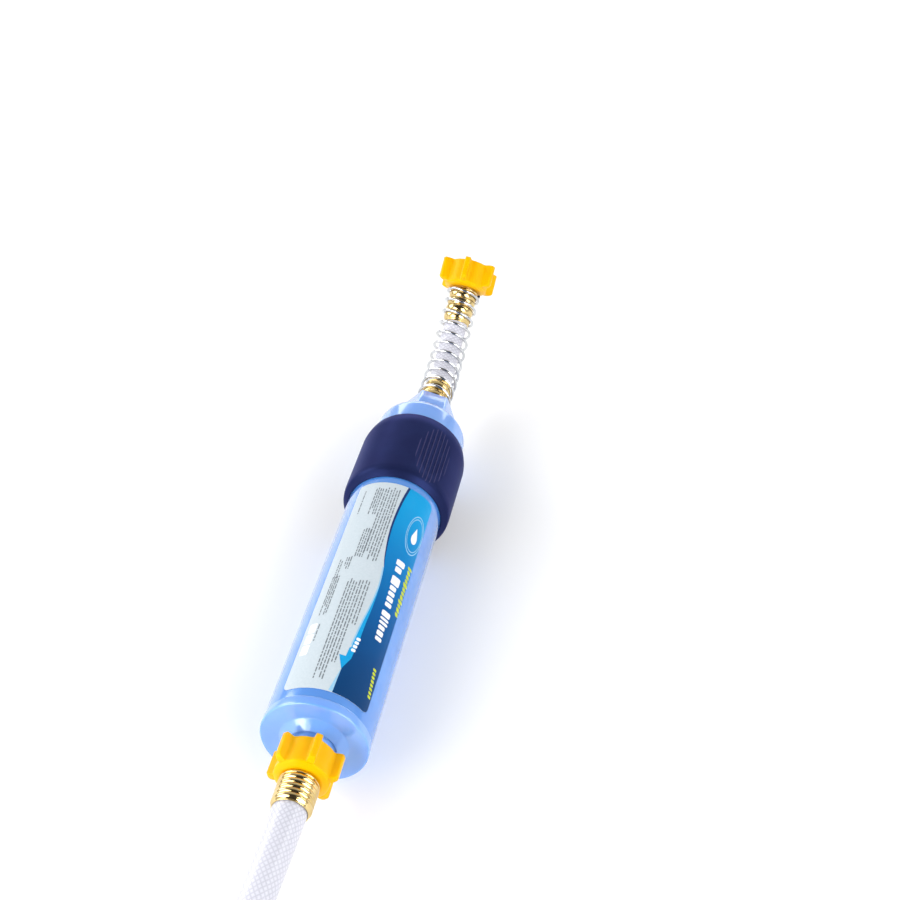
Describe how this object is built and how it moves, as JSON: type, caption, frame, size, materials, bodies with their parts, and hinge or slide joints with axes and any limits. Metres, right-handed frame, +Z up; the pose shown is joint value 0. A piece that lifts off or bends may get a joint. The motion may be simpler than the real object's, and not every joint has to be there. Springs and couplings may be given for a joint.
{
  "type": "inline water filter",
  "caption": "Inline garden-hose water filter for a caravan: translucent blue canister with a dark grip sleeve, a spring-guarded inlet hose and a braided outlet hose.",
  "frame": {"origin": "bottom centre of the filter's bounding box, on the surface it lies on, measured without the leader hose", "axes": "+Y along the canister from its outlet to its inlet, +X to the right when looking along +Y, +Z up"},
  "size_m": [0.2417, 0.8137, 0.1042],
  "materials": {
    "canister_blue": "translucent light blue, glossy",
    "cap_blue": "translucent light blue, glossy",
    "sleeve_navy": "satin, deep navy",
    "label_film": "printed adhesive film",
    "nut_yellow": "moulded, satin",
    "brass_bright": "turned and rolled",
    "spring_steel": "bright drawn wire",
    "hose_vinyl": "clear vinyl over a white braid",
    "washer_black": "moulded",
    "pad_felt": "felted",
    "carbon_black": "loose granules",
    "media_metal": "loose granules",
    "inner_white": "moulded",
    "strap_black": "woven strap"
  },
  "bodies": {
    "filter": {"canister_tube": "canister_blue", "inlet_end_cap": "cap_blue", "outlet_end_cap": "cap_blue", "grip_sleeve": "sleeve_navy", "label": "label_film", "inlet_diffuser": "inner_white", "sediment_pad": "pad_felt", "carbon_bed": "carbon_black", "divider_pad": "pad_felt", "metal_media_bed": "media_metal", "outlet_pad": "pad_felt", "outlet_screen": "inner_white", "socket_washer": "washer_black", "protector_male_coupling": "brass_bright", "protector_lower_ferrule": "brass_bright", "protector_hose": "hose_vinyl", "protector_spring": "spring_steel", "protector_upper_ferrule": "brass_bright", "protector_tailpiece": "brass_bright", "inlet_washer": "washer_black"},
    "inlet_nut": {"inlet_nut": "nut_yellow"},
    "outlet_hose": {"outlet_washer": "washer_black", "outlet_tailpiece": "brass_bright", "outlet_ferrule": "brass_bright", "outlet_hose_run": "hose_vinyl", "outlet_hose_coil": "hose_vinyl", "coil_tie": "strap_black", "far_end_ferrule": "brass_bright", "far_end_coupling": "brass_bright"},
    "outlet_nut": {"outlet_nut": "nut_yellow"}
  },
  "joints": [
    {"name": "inlet_nut_spin", "type": "hinge", "parent": "filter", "child": "inlet_nut", "pos_m": [0.00595, 0.23216, 0.08056], "axis": [0.0933, 0.777, 0.6225], "continuous": true},
    {"name": "outlet_hose_slide", "type": "slide", "parent": "filter", "child": "outlet_hose", "axis": [0, -1, 0], "range_m": [0, 0.0105]},
    {"name": "outlet_nut_turn", "type": "hinge", "parent": "outlet_hose", "child": "outlet_nut", "pos_m": [0, -0.22297, 0.0366], "axis": [0, -1, 0], "range_deg": [0, 1711.5]}
  ],
  "couplings": [
    {"joint": "outlet_nut_turn", "follows": "outlet_hose_slide", "rad_per_m": 2844.8}
  ]
}
